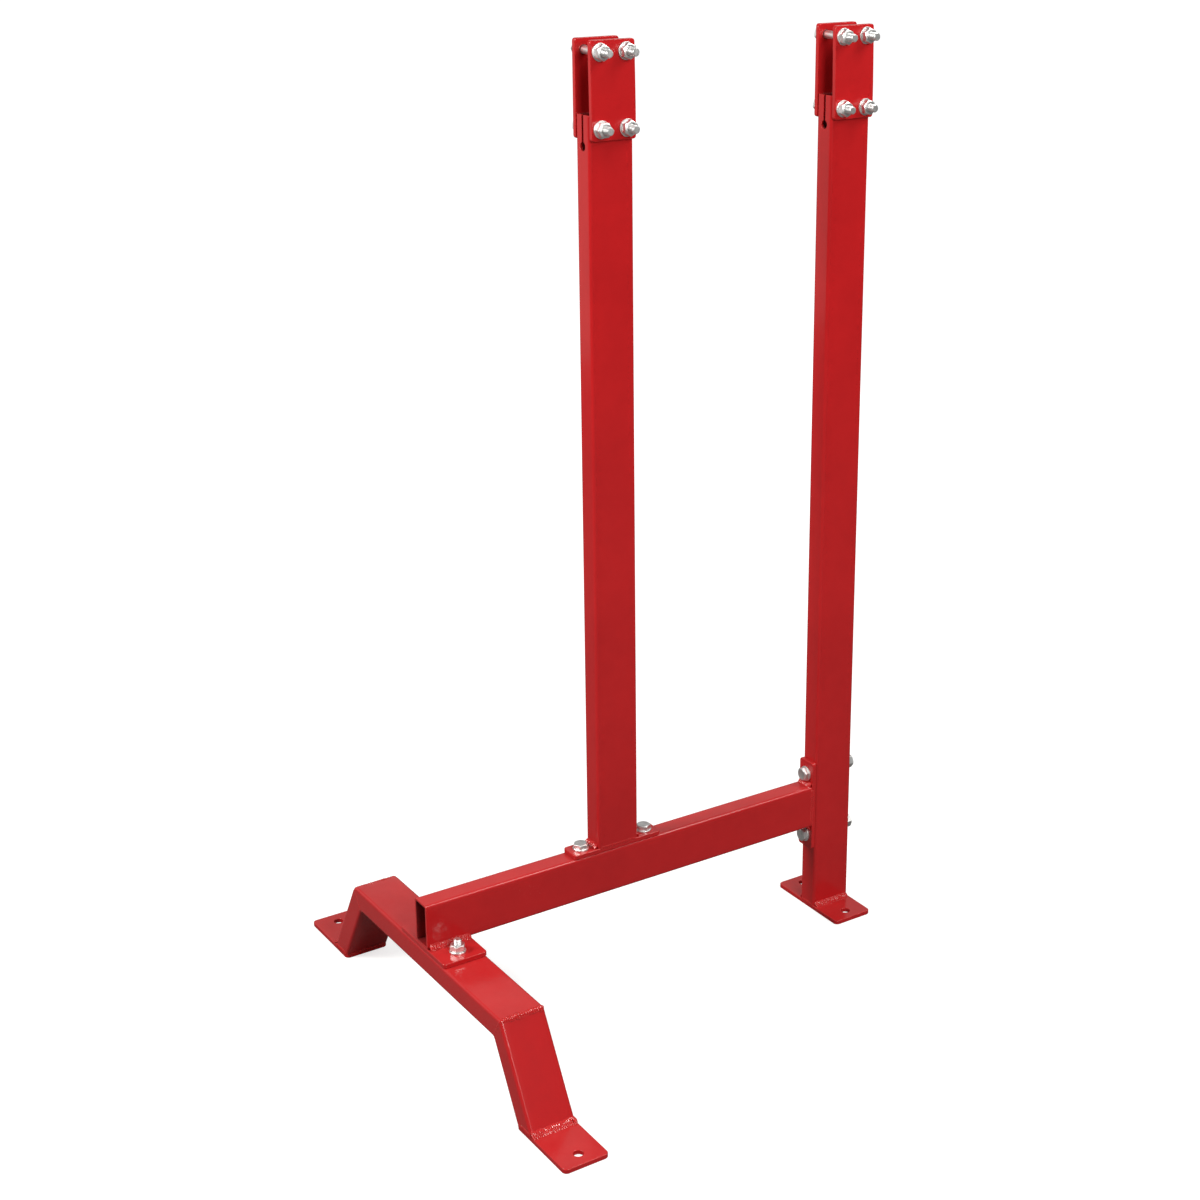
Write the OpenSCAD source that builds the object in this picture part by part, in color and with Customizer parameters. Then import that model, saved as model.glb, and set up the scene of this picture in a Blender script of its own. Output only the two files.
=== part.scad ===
// Bolted two-post floor stand. A bridge-shaped front foot carries a tie bar, the tie bar
// carries the front post and reaches back to the rear post, and each post ends in a forked
// clamp head for a storage rail. X runs across the stand, Y from front to back, Z up.
// The origin is on the floor, in the middle of the stand's outline.

/* [Tube] */
// Wide side of the rectangular tube
tube_w = 60; // [50:1:70]
// Narrow side of the rectangular tube
tube_t = 30; // [26:1:40]
// Tube wall
wall = 3; // [2:0.5:4]
// Outer corner radius of the tube
tube_r = 4; // [4:0.5:7]

/* [Plates] */
// Thickness of flanges, foot plates and cheeks
plate_t = 6; // [4:0.5:8]
// Corner radius of the flanges
flange_r = 4; // [2:0.5:5]
// Corner radius of the foot plates
foot_r = 6; // [3:0.5:8]

/* [Front foot] */
// Height of the crossbar's top face
bridge_h = 125; // [110:1:140]
// Distance between the two outer mitre corners
bridge_w = 392; // [340:1:400]
// Lean of the legs from upright, degrees
leg_lean = 30; // [20:1:35]
// Distance between the two front floor holes
front_hole_gap = 640; // [600:5:700]
// Floor hole to the outer end of its foot plate
foot_hole_in = 20; // [14:1:26]

/* [Posts] */
// Total height
height = 1214; // [900:1:1400]
// Front post, from the crossbar's centre line
front_post_y = 247; // [180:1:300]
// Rear post, from the crossbar's centre line
rear_post_y = 597; // [500:1:700]
// Length of the rear floor plate
rear_foot_l = 135; // [120:1:160]
// Distance between the two rear floor holes
rear_hole_gap = 98; // [88:1:110]
// Diameter of the floor holes
floor_hole_d = 12; // [10:0.5:14]

/* [Clamp heads] */
// Height of a cheek
cheek_h = 114; // [100:1:130]
// Overlap of cheek and post
cheek_lap = 29; // [26:1:34]
// Corner radius of a cheek
cheek_r = 3.5; // [2:0.5:6]
// Head bolt rows, from the cheek's top and bottom edges
row_in = 13.5; // [12:0.5:16]
// Gap between the two bolts of a row
row_gap = 35; // [30:1:38]
// Width of the slot that frees the post's end walls
slot_w = 4; // [2:0.5:6]
// Hole that ends the slot
slot_hole_d = 11; // [8:0.5:12]
// Depth of that hole's centre below the post's top
slot_depth = 36.5; // [30:0.5:50]

/* [Joints] */
// Length of the flange that sits on the crossbar
cross_flange_l = 116; // [100:1:130]
// Gap between the bolts of that flange
cross_bolt_gap = 74; // [66:1:80]
// Length of the flanges at the foot of the front post and at the tie bar's rear end
joint_flange_l = 130; // [120:1:145]
// Gap between the bolts of the front post's flange
post_bolt_gap = 95; // [84:1:104]
// Gap between the bolts of the tie bar's rear flange
tie_bolt_gap = 92; // [88:1:104]

/* [Fasteners] */
// Bolt shank
bolt_d = 10; // [8:1:10]
// Clearance hole for the bolt
bolt_hole_d = 11; // [10.5:0.5:12]
// Hexagon across its flats
hex_af = 17; // [13:1:18]
// Bolt head height
head_h = 6.4; // [5:0.1:8]
// Nut height
nut_h = 8.4; // [6:0.1:9]
// Washer diameter
washer_d = 21; // [16:1:22]
// Washer thickness
washer_t = 2; // [1:0.5:2.5]
// Bolt length through a clamp head
head_bolt_l = 65; // [62:1:75]
// Bolt length through the crossbar
cross_bolt_l = 55; // [50:1:60]
// Bolt length under the front post
post_bolt_l = 25; // [22:1:35]
// Bolt length through the rear post
tie_bolt_l = 80; // [80:1:100]

/* [Welds] */
// Leg of a fillet weld
weld_s = 5; // [3:0.5:6]
// How far a fillet weld's face bulges, from 0.5, flat, as a share of its leg
weld_belly = 0.62; // [0.5:0.01:0.8]

/* [Hidden] */
$fn = 48;
// Overlap that joins a bolt's shank to its head
eps = 0.01;
// Side of the blocks that trim a tube, and half its length before trimming
cut = 400;
// Bores of the nuts and washers
nut_bore = bolt_d + 0.2;
washer_bore = bolt_d + 0.5;

// Heights
bridge_z = bridge_h - tube_t / 2;
tie_z0 = bridge_h + plate_t;
tie_mid = tie_z0 + tube_w / 2;
tie_top = tie_z0 + tube_w;
post_z0 = tie_top + plate_t;
post_top = height - cheek_h + cheek_lap;
cheek_z0 = height - cheek_h;
row_low = cheek_z0 + row_in;
row_high = height - row_in;

// Front to back: the rear bolt ends reach furthest back
tie_bolt_y0 = rear_post_y - tube_w / 2 - plate_t - washer_t;
depth = tube_w / 2 + tie_bolt_y0 + tie_bolt_l;
cross_y = tube_w / 2 - depth / 2;
post_ys = [cross_y + front_post_y, cross_y + rear_post_y];
tie_end = post_ys[1] - tube_w / 2 - plate_t;

// Across: mitre, leg and foot plate. The mitre halves the corner, measured from upright
mitre = (90 - leg_lean) / 2;
leg_bottom_out = bridge_w / 2 + (bridge_h - plate_t) * tan(leg_lean);
leg_bottom_in = leg_bottom_out - tube_t / cos(leg_lean);
foot_hole_x = front_hole_gap / 2;
foot_l = foot_hole_x + foot_hole_in - leg_bottom_in;
cheek_x = tube_t / 2;

// ---- shared shapes ----

// Rounded rectangle, a across X and b across Y, centred
module rounded(a, b, r) {
    square([a - 2 * r, b], center = true);
    square([a, b - 2 * r], center = true);
    for (x = [-1, 1], y = [-1, 1])
        translate([x * (a / 2 - r), y * (b / 2 - r)]) circle(r);
}

// Upright tube of length l, a across X and b across Y, standing on the origin
module tube(a, b, l) {
    difference() {
        linear_extrude(l) rounded(a, b, tube_r);
        translate([0, 0, -1])
            linear_extrude(l + 2) rounded(a - 2 * wall, b - 2 * wall, tube_r - wall);
    }
}

// Flat plate, a across X and b across Y, lying on the origin
module plate(a, b, r) {
    linear_extrude(plate_t) rounded(a, b, r);
}

// Drill of diameter d and length l, centred on the origin along Z
module drill(d, l) {
    cylinder(h = l, d = d, center = true);
}

// Hexagon bolt: the head's bearing face is at the origin and the shank runs along -Z
module bolt(l) {
    cylinder(h = head_h, d = hex_af / cos(30), $fn = 6);
    translate([0, 0, -l]) cylinder(h = l + eps, d = bolt_d);
}

// Hexagon nut standing on the origin
module nut() {
    difference() {
        cylinder(h = nut_h, d = hex_af / cos(30), $fn = 6);
        translate([0, 0, nut_h / 2]) drill(nut_bore, nut_h + 2);
    }
}

// Washer lying on the origin
module washer() {
    difference() {
        cylinder(h = washer_t, d = washer_d);
        translate([0, 0, washer_t / 2]) drill(washer_bore, washer_t + 2);
    }
}

// Fillet weld of length l along X, on the XY plane, against a face that rises at an angle
module fillet(l, angle = 90) {
    foot = [weld_s, 0];
    rise = weld_s * [cos(angle), sin(angle)];
    rotate([90, 0, 90])
        linear_extrude(l, center = true)
            polygon([[0, 0], foot, weld_belly * (foot + rise), rise]);
}

// ---- front foot ----

// Everything on the outer side of the mitre on the +X side
module beyond_mitre() {
    translate([bridge_w / 2, 0, bridge_h])
        rotate([0, mitre, 0])
            translate([0, -cut / 2, -cut]) cube([cut, cut, 2 * cut]);
}

module crossbar_tube() {
    color("firebrick")
    difference() {
        translate([-cut, cross_y, bridge_z]) rotate([0, 90, 0]) tube(tube_t, tube_w, 2 * cut);
        for (side = [0, 1]) mirror([side, 0, 0]) translate([0, cross_y, 0]) beyond_mitre();
        for (x = [-1, 1])
            translate([x * cross_bolt_gap / 2, cross_y, bridge_z]) drill(bolt_hole_d, tube_t + 2);
    }
}

// Leg on the +X side: the tube's outer face passes through the outer mitre corner
module leg() {
    difference() {
        intersection() {
            translate([bridge_w / 2, cross_y, bridge_h])
                rotate([0, -leg_lean, 0])
                    translate([-tube_t / 2, 0, -cut / 2]) tube(tube_t, tube_w, cut);
            translate([0, cross_y, 0]) beyond_mitre();
        }
        translate([0, cross_y - cut / 2, plate_t - cut]) cube([cut, cut, cut]);
    }
}

module left_leg_tube() {
    color("firebrick") mirror([1, 0, 0]) leg();
}

module right_leg_tube() {
    color("firebrick") leg();
}

module foot_plate() {
    difference() {
        translate([leg_bottom_in + foot_l / 2, cross_y, 0]) plate(foot_l, tube_w, foot_r);
        translate([foot_hole_x, cross_y, plate_t / 2]) drill(floor_hole_d, plate_t + 2);
    }
}

module left_foot_plate() {
    color("firebrick") mirror([1, 0, 0]) foot_plate();
}

module right_foot_plate() {
    color("firebrick") foot_plate();
}

// Bead over each outer mitre corner, with the two tubes' faces cut away from it
module mitre_welds() {
    bead_l = tube_w - 2 * tube_r;
    color("firebrick")
    for (side = [0, 1]) mirror([side, 0, 0])
        translate([bridge_w / 2, cross_y, bridge_h])
            difference() {
                rotate([90, 0, 0]) cylinder(h = bead_l, r = weld_s / 2, center = true);
                translate([-cut, -cut / 2, -cut]) cube([cut, cut, cut]);
                rotate([0, -leg_lean, 0]) translate([-cut, -cut / 2, -cut]) cube([cut, cut, cut]);
            }
}

// Fillet between each leg's outer face and its foot plate
module foot_plate_welds() {
    color("firebrick")
    for (side = [0, 1]) mirror([side, 0, 0])
        translate([leg_bottom_out, cross_y, plate_t])
            rotate([0, 0, -90])
                fillet(tube_w - 2 * tube_r, 90 + leg_lean);
}

// ---- tie bar ----

module tie_bar_tube() {
    color("firebrick")
    difference() {
        translate([0, cross_y - tube_w / 2, tie_mid])
            rotate([-90, 0, 0]) tube(tube_t, tube_w, tie_end - cross_y + tube_w / 2);
        for (y = [-1, 1])
            translate([0, post_ys[0] + y * post_bolt_gap / 2, tie_top])
                drill(bolt_hole_d, 3 * wall);
    }
}

module tie_bar_front_flange() {
    color("firebrick")
    difference() {
        translate([0, cross_y, bridge_h]) plate(cross_flange_l, tube_w, flange_r);
        for (x = [-1, 1])
            translate([x * cross_bolt_gap / 2, cross_y, tie_z0]) drill(bolt_hole_d, 3 * plate_t);
    }
}

module tie_bar_rear_flange() {
    color("firebrick")
    difference() {
        translate([0, tie_end + plate_t, tie_mid])
            rotate([90, 0, 0]) plate(tube_t, joint_flange_l, flange_r);
        for (z = [-1, 1])
            translate([0, tie_end, tie_mid + z * tie_bolt_gap / 2])
                rotate([90, 0, 0]) drill(bolt_hole_d, 3 * plate_t);
    }
}

module tie_bar_front_welds() {
    color("firebrick")
    for (side = [0, 1]) mirror([side, 0, 0])
        translate([tube_t / 2, cross_y, tie_z0])
            rotate([0, 0, -90])
                fillet(tube_w - 2 * flange_r);
}

module tie_bar_rear_welds() {
    color("firebrick")
    for (side = [0, 1])
        translate([0, tie_end, tie_mid])
            mirror([0, 0, side])
                translate([0, 0, tube_w / 2])
                    rotate([90, 0, 0]) fillet(tube_t - 2 * tube_r);
}

// ---- posts ----

// Post tube from z0 to its top, with a keyhole slot in both narrow faces and, through
// its wide faces, the holes of the lower head bolts
module post_tube(z0) {
    difference() {
        translate([0, 0, z0]) tube(tube_t, tube_w, post_top - z0);
        translate([-slot_w / 2, -tube_w, post_top - slot_depth])
            cube([slot_w, 2 * tube_w, slot_depth + 1]);
        translate([0, 0, post_top - slot_depth])
            rotate([90, 0, 0]) drill(slot_hole_d, 2 * tube_w);
        for (y = [-1, 1])
            translate([0, y * row_gap / 2, row_low])
                rotate([0, 90, 0]) drill(bolt_hole_d, 2 * tube_t);
    }
}

module front_post_tube() {
    color("firebrick") translate([0, post_ys[0], 0]) post_tube(post_z0);
}

module front_post_flange() {
    color("firebrick")
    translate([0, post_ys[0], tie_top])
        difference() {
            plate(tube_t, joint_flange_l, flange_r);
            for (y = [-1, 1])
                translate([0, y * post_bolt_gap / 2, 0]) drill(bolt_hole_d, 3 * plate_t);
        }
}

module front_post_welds() {
    color("firebrick")
    for (side = [0, 1])
        translate([0, post_ys[0], post_z0])
            mirror([0, side, 0])
                translate([0, tube_w / 2, 0]) fillet(tube_t - 2 * tube_r);
}

module rear_post_tube() {
    color("firebrick")
    difference() {
        translate([0, post_ys[1], 0]) post_tube(plate_t);
        for (z = [-1, 1])
            translate([0, post_ys[1], tie_mid + z * tie_bolt_gap / 2])
                rotate([90, 0, 0]) drill(bolt_hole_d, 2 * tube_w);
    }
}

module rear_floor_plate() {
    color("firebrick")
    translate([0, post_ys[1], 0])
        difference() {
            plate(rear_foot_l, tube_w, foot_r);
            for (x = [-1, 1])
                translate([x * rear_hole_gap / 2, 0, 0]) drill(floor_hole_d, 3 * plate_t);
        }
}

module rear_post_welds() {
    color("firebrick")
    for (side = [0, 1]) mirror([side, 0, 0])
        translate([tube_t / 2, post_ys[1], plate_t])
            rotate([0, 0, -90]) fillet(tube_w - 2 * tube_r);
}

// ---- clamp heads ----

// One cheek plate on side -1 or 1 of the post at index i
module cheek(i, side) {
    color("firebrick")
    translate([side * (cheek_x + plate_t / 2), post_ys[i], cheek_z0 + cheek_h / 2])
        rotate([0, 90, 0])
            difference() {
                translate([0, 0, -plate_t / 2]) plate(cheek_h, tube_w, cheek_r);
                for (z = [-1, 1], y = [-1, 1])
                    translate([z * (cheek_h / 2 - row_in), y * row_gap / 2, 0])
                        drill(bolt_hole_d, 2 * plate_t);
            }
}

module front_head_left_cheek() { cheek(0, -1); }
module front_head_right_cheek() { cheek(0, 1); }
module rear_head_left_cheek() { cheek(1, -1); }
module rear_head_right_cheek() { cheek(1, 1); }

// Places its children at the four bolt axes of head i, x from the centre, Z turned to +X
module at_head(i, x) {
    for (y = [-1, 1], z = [row_low, row_high])
        translate([x, post_ys[i] + y * row_gap / 2, z]) rotate([0, 90, 0]) children();
}

module head_bolts(i) {
    color("silver")
    at_head(i, -cheek_x - plate_t - washer_t) mirror([0, 0, 1]) bolt(head_bolt_l);
}

module head_nuts(i) {
    color("silver") at_head(i, cheek_x + plate_t + washer_t) nut();
}

module head_washers(i) {
    color("silver") {
        at_head(i, -cheek_x - plate_t - washer_t) washer();
        at_head(i, cheek_x + plate_t) washer();
    }
}

module front_head_bolts() { head_bolts(0); }
module front_head_nuts() { head_nuts(0); }
module front_head_washers() { head_washers(0); }
module rear_head_bolts() { head_bolts(1); }
module rear_head_nuts() { head_nuts(1); }
module rear_head_washers() { head_washers(1); }

// ---- joint fasteners ----

module at_crossbar_joint(z) {
    for (x = [-1, 1]) translate([x * cross_bolt_gap / 2, cross_y, z]) children();
}

module crossbar_joint_bolts() {
    color("silver") at_crossbar_joint(bridge_h - tube_t - washer_t) rotate([180, 0, 0]) bolt(cross_bolt_l);
}

module crossbar_joint_nuts() {
    color("silver") at_crossbar_joint(tie_z0 + washer_t) nut();
}

module crossbar_joint_washers() {
    color("silver") {
        at_crossbar_joint(tie_z0) washer();
        at_crossbar_joint(bridge_h - tube_t - washer_t) washer();
    }
}

module at_post_joint(z) {
    for (y = [-1, 1]) translate([0, post_ys[0] + y * post_bolt_gap / 2, z]) children();
}

module post_joint_bolts() {
    color("silver") at_post_joint(post_z0 + washer_t) bolt(post_bolt_l);
}

module post_joint_captive_nuts() {
    color("silver") at_post_joint(tie_top - wall - nut_h) nut();
}

module post_joint_washers() {
    color("silver") at_post_joint(post_z0) washer();
}

// Places its children at the two bolts through the rear post, Z turned to -Y
module at_tie_joint(y) {
    for (z = [-1, 1])
        translate([0, y, tie_mid + z * tie_bolt_gap / 2]) rotate([90, 0, 0]) children();
}

module tie_joint_bolts() {
    color("silver") at_tie_joint(tie_end - washer_t) bolt(tie_bolt_l);
}

module tie_joint_nuts() {
    color("silver") at_tie_joint(post_ys[1] + tube_w / 2 + washer_t + nut_h) nut();
}

module tie_joint_washers() {
    color("silver") {
        at_tie_joint(tie_end) washer();
        at_tie_joint(post_ys[1] + tube_w / 2 + washer_t) washer();
    }
}

crossbar_tube();
left_leg_tube();
right_leg_tube();
left_foot_plate();
right_foot_plate();
mitre_welds();
foot_plate_welds();
tie_bar_tube();
tie_bar_front_flange();
tie_bar_rear_flange();
tie_bar_front_welds();
tie_bar_rear_welds();
front_post_tube();
front_post_flange();
front_post_welds();
rear_post_tube();
rear_floor_plate();
rear_post_welds();
front_head_left_cheek();
front_head_right_cheek();
rear_head_left_cheek();
rear_head_right_cheek();
front_head_bolts();
front_head_nuts();
front_head_washers();
rear_head_bolts();
rear_head_nuts();
rear_head_washers();
crossbar_joint_bolts();
crossbar_joint_nuts();
crossbar_joint_washers();
post_joint_bolts();
post_joint_captive_nuts();
post_joint_washers();
tie_joint_bolts();
tie_joint_nuts();
tie_joint_washers();
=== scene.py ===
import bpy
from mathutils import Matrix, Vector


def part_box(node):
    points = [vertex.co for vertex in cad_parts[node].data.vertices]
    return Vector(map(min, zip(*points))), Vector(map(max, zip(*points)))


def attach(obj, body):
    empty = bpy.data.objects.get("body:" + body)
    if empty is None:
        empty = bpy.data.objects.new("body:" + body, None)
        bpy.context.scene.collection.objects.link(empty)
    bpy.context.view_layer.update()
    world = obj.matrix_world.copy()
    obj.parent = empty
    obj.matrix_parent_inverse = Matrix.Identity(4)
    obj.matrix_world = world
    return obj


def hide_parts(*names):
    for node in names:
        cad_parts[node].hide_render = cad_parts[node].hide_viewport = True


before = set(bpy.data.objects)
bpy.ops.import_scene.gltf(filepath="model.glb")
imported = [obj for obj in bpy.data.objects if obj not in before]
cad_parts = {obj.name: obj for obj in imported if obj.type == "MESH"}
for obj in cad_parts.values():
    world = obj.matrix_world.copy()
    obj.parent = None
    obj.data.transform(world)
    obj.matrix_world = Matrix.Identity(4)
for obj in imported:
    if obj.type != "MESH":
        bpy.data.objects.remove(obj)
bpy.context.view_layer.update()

from math import cos, pi, radians, sin, tan

import bmesh
import bpy
import numpy as np
from mathutils import Matrix, Vector

# Floor stand of a tyre rack: box section, plates, weld runs and zinc hardware, all in metres
mm = 0.001
print("frame loaded,", len(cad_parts), "CAD nodes")


def corners(node):
    low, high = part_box(node)
    return np.array(low), np.array(high)


def gridFaces(rows, columns, wrapRows=False, wrapColumns=False):
    # four-sided faces over a grid of points kept row by row; a wrapped way joins its last line to its first
    index = np.arange(rows * columns).reshape(rows, columns)
    if wrapRows:
        index = np.vstack([index, index[:1]])
    if wrapColumns:
        index = np.hstack([index, index[:, :1]])
    return np.stack([index[:-1, :-1], index[:-1, 1:], index[1:, 1:], index[1:, :-1]], -1).reshape(-1, 4)


def patch(points, wrapRows=False, wrapColumns=False, paint=0, eased=1, keep=None):
    # one grid surface of a piece: paint is its material's place, eased says whether sharp edges get rounded
    rows, columns = points.shape[:2]
    faces = gridFaces(rows, columns, wrapRows, wrapColumns)
    if keep is not None:
        faces = faces[keep]
    return dict(points=points.reshape(-1, 3), faces=faces, paint=paint, eased=eased)


def placed(patches, origin, xAxis, yAxis):
    # the patches carried into the frame at origin, whose third axis is xAxis cross yAxis
    axes = np.array([xAxis, yAxis, np.cross(xAxis, yAxis)], float)
    return [dict(p, points=p["points"] @ axes + origin) for p in patches]


swingLook = dict(stretch=(0.7, 1.3), calm=1.8)


def wander(s, seed, waves=5, longest=1.0):
    # slow irregular swing about nought: a sum of sines of falling length and seeded phase
    rng = np.random.default_rng(seed)
    total = np.zeros_like(s)
    for k in range(1, waves + 1):
        stretch = rng.uniform(*swingLook["stretch"])
        total += np.sin(2 * pi * k * s / longest * stretch + rng.uniform(0, 2 * pi)) / k
    return total / swingLook["calm"]


joinLook = dict(mergeGap=0.004 * mm, sharpAngle=27, steps=3)


def makePiece(name, node, patches, paints, ease):
    # stacks the patches, joins their shared edges, turns the faces outwards and rounds the sharp edges
    starts = np.cumsum([0] + [len(p["points"]) for p in patches[:-1]])
    counts = [len(p["faces"]) for p in patches]
    faces = np.vstack([p["faces"] + start for p, start in zip(patches, starts)])
    mesh = bpy.data.meshes.new(name)
    mesh.from_pydata(np.vstack([p["points"] for p in patches]).tolist(), [], faces.tolist())
    for paint in paints:
        mesh.materials.append(paint)
    mesh.polygons.foreach_set("material_index", np.repeat([p["paint"] for p in patches], counts))
    mark = mesh.attributes.new("eased", "INT", "FACE")
    mark.data.foreach_set("value", np.repeat([p["eased"] for p in patches], counts))

    work = bmesh.new()
    work.from_mesh(mesh)
    bmesh.ops.remove_doubles(work, verts=work.verts, dist=joinLook["mergeGap"])
    bmesh.ops.dissolve_degenerate(work, edges=work.edges, dist=joinLook["mergeGap"] / 4)
    bmesh.ops.recalc_face_normals(work, faces=work.faces)
    weight = work.edges.layers.float.new("bevel_weight_edge")
    eased = work.faces.layers.int["eased"]
    for face in work.faces:
        face.smooth = True
    for edge in work.edges:
        if len(edge.link_faces) == 2 and edge.calc_face_angle() > radians(joinLook["sharpAngle"]):
            marks = [face[eased] for face in edge.link_faces]
            edge[weight] = float(all(marks))
            edge.smooth = all(marks) or not any(marks)
    work.to_mesh(mesh)
    work.free()

    piece = bpy.data.objects.new(name, mesh)
    bpy.context.scene.collection.objects.link(piece)
    if ease > 0:
        bevel = piece.modifiers.new("easedEdges", "BEVEL")
        bevel.limit_method = "WEIGHT"
        bevel.width = ease
        bevel.segments = joinLook["steps"]
        bevel.harden_normals = True
    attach(piece, "root")
    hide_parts(node)
    return piece


def addNode(tree, kind, x, y, inputs=None, **settings):
    # one node at a place on the sheet; an input given a socket is linked to it
    made = tree.nodes.new("ShaderNode" + kind)
    made.location = (x, y)
    for key, value in settings.items():
        setattr(made, key, value)
    for key, value in (inputs or {}).items():
        if isinstance(value, bpy.types.NodeSocket):
            tree.links.new(value, made.inputs[key])
        else:
            made.inputs[key].default_value = value
    return made


def mathNode(tree, operation, x, y, first, second=0.0, clamp=False):
    made = addNode(tree, "Math", x, y, {0: first, 1: second}, operation=operation, use_clamp=clamp)
    return made.outputs[0]


def rangeNode(tree, x, y, value, low, high, toLow=0.0, toHigh=1.0):
    made = addNode(tree, "MapRange", x, y, {
        "Value": value, "From Min": low, "From Max": high, "To Min": toLow, "To Max": toHigh})
    return made.outputs["Result"]


def mixColours(tree, x, y, factor, first, second):
    made = addNode(tree, "Mix", x, y, data_type="RGBA")
    for place, value in ((0, factor), (6, first), (7, second)):
        if isinstance(value, bpy.types.NodeSocket):
            tree.links.new(value, made.inputs[place])
        else:
            made.inputs[place].default_value = value
    return made.outputs[2]


def ownPlace(tree, x, y):
    return addNode(tree, "TexCoord", x, y).outputs["Object"]


def newGroup(name, inputs, outputs):
    tree = bpy.data.node_groups.new(name, "ShaderNodeTree")
    for label, default in inputs.items():
        socket = tree.interface.new_socket(label, in_out="INPUT", socket_type="NodeSocketFloat")
        socket.default_value = default
    for label in outputs:
        tree.interface.new_socket(label, in_out="OUTPUT", socket_type="NodeSocketFloat")
    entry = tree.nodes.new("NodeGroupInput")
    entry.location = (-900, 0)
    leave = tree.nodes.new("NodeGroupOutput")
    leave.location = (900, 0)
    return tree, entry, leave


def useGroup(tree, group, x, y, **values):
    made = tree.nodes.new("ShaderNodeGroup")
    made.node_tree = group
    made.location = (x, y)
    for key, value in values.items():
        made.inputs[key].default_value = value
    return made


def makeOrangePeel():
    # the skin of a stoved powder: small even pimples over a longer, lower swell
    tree, entry, leave = newGroup("orangePeel", dict(Pimples=520.0, Swell=70.0, SwellShare=0.8), ["Height"])
    place = ownPlace(tree, -900, 200)
    small = addNode(tree, "TexNoise", -500, 200, {
        "Vector": place, "Scale": entry.outputs["Pimples"], "Detail": 1.5, "Roughness": 0.45})
    large = addNode(tree, "TexNoise", -500, -100, {
        "Vector": place, "Scale": entry.outputs["Swell"], "Detail": 1.0, "Roughness": 0.4})
    swell = mathNode(tree, "MULTIPLY", -200, -100, large.outputs["Fac"], entry.outputs["SwellShare"])
    total = mathNode(tree, "ADD", 100, 0, small.outputs["Fac"], swell)
    tree.links.new(total, leave.inputs["Height"])
    return tree


def makeThinEdgeAndSheen():
    # where a coat draws thin, and where the red coat's edges carry a painted highlight: the rounded normal
    # leaves the true one at an edge, broken up by noise
    tree, entry, leave = newGroup("thinEdgeAndSheen", dict(Radius=0.001, Breakup=0.5), ["Mask"])
    place = ownPlace(tree, -900, 300)
    rounded = addNode(tree, "Bevel", -600, 0, {"Radius": entry.outputs["Radius"]}, samples=4)
    true = addNode(tree, "NewGeometry", -600, -200).outputs["True Normal"]
    same = addNode(tree, "VectorMath", -350, 0, {0: rounded.outputs[0], 1: true}, operation="DOT_PRODUCT")
    lean = rangeNode(tree, -100, 0, same.outputs["Value"], 0.985, 0.82)
    speckle = addNode(tree, "TexNoise", -350, 300, {"Vector": place, "Scale": 160.0, "Detail": 3.0})
    patchy = rangeNode(tree, -100, 300, speckle.outputs["Fac"], 0.35, 0.65)
    ragged = mathNode(tree, "MULTIPLY", 150, 200, patchy, entry.outputs["Breakup"])
    kept = mathNode(tree, "SUBTRACT", 350, 100, 1.0, ragged)
    tree.links.new(mathNode(tree, "MULTIPLY", 600, 0, lean, kept, clamp=True), leave.inputs["Mask"])
    return tree


def makeToneDrift():
    # broad soft change of tone over a piece, with a weaker finer one laid on it
    tree, entry, leave = newGroup("toneDrift", dict(Scale=6.0, FineScale=45.0), ["Value"])
    place = ownPlace(tree, -900, 200)
    broad = addNode(tree, "TexNoise", -500, 200, {
        "Vector": place, "Scale": entry.outputs["Scale"], "Detail": 2.0})
    fine = addNode(tree, "TexNoise", -500, -100, {
        "Vector": place, "Scale": entry.outputs["FineScale"], "Detail": 4.0, "Roughness": 0.6})
    share = mathNode(tree, "MULTIPLY", -200, -100, fine.outputs["Fac"], 0.35)
    total = mathNode(tree, "MULTIPLY_ADD", 0, 100, broad.outputs["Fac"], 0.65)
    tree.links.new(share, total.node.inputs[2])
    tree.links.new(rangeNode(tree, 300, 0, total, 0.36, 0.64), leave.inputs["Value"])
    return tree


def makeNibs():
    # grains of dust caught in a coat: one cell in a few holds a small round pimple
    tree, entry, leave = newGroup("nibs", dict(Cells=55.0, Share=0.12, Size=0.06), ["Mask"])
    place = ownPlace(tree, -900, 200)
    cells = addNode(tree, "TexVoronoi", -600, 100, {"Vector": place, "Scale": entry.outputs["Cells"]})
    near = mathNode(tree, "DIVIDE", -350, 100, cells.outputs["Distance"], entry.outputs["Size"])
    dot = mathNode(tree, "SUBTRACT", -100, 100, 1.0, near, clamp=True)
    lucky = addNode(tree, "SeparateColor", -350, -100, {0: cells.outputs["Color"]})
    chosen = mathNode(tree, "LESS_THAN", -100, -100, lucky.outputs[0], entry.outputs["Share"])
    tree.links.new(mathNode(tree, "MULTIPLY", 200, 0, dot, chosen), leave.inputs["Mask"])
    return tree


def makeRubMarks():
    # faint rubs from packing: long thin streaks, kept only inside a few blotches
    tree, entry, leave = newGroup("rubMarks", dict(Blotches=9.0, Reach=0.67), ["Mask"])
    place = ownPlace(tree, -900, 200)
    turned = addNode(tree, "Mapping", -700, 200, {"Vector": place, "Rotation": (0.5, 0.35, 0.8),
                                                  "Scale": (30.0, 420.0, 420.0)})
    streaks = addNode(tree, "TexNoise", -450, 200, {
        "Vector": turned.outputs[0], "Scale": 1.0, "Detail": 2.0})
    thin = rangeNode(tree, -150, 200, streaks.outputs["Fac"], 0.62, 0.72)
    where = addNode(tree, "TexNoise", -450, -100, {
        "Vector": place, "Scale": entry.outputs["Blotches"], "Detail": 2.0})
    over = mathNode(tree, "SUBTRACT", -150, -100, where.outputs["Fac"], entry.outputs["Reach"])
    inside = mathNode(tree, "MULTIPLY", 100, -100, over, 12.0, clamp=True)
    tree.links.new(mathNode(tree, "MULTIPLY", 400, 0, thin, inside), leave.inputs["Mask"])
    return tree


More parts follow.
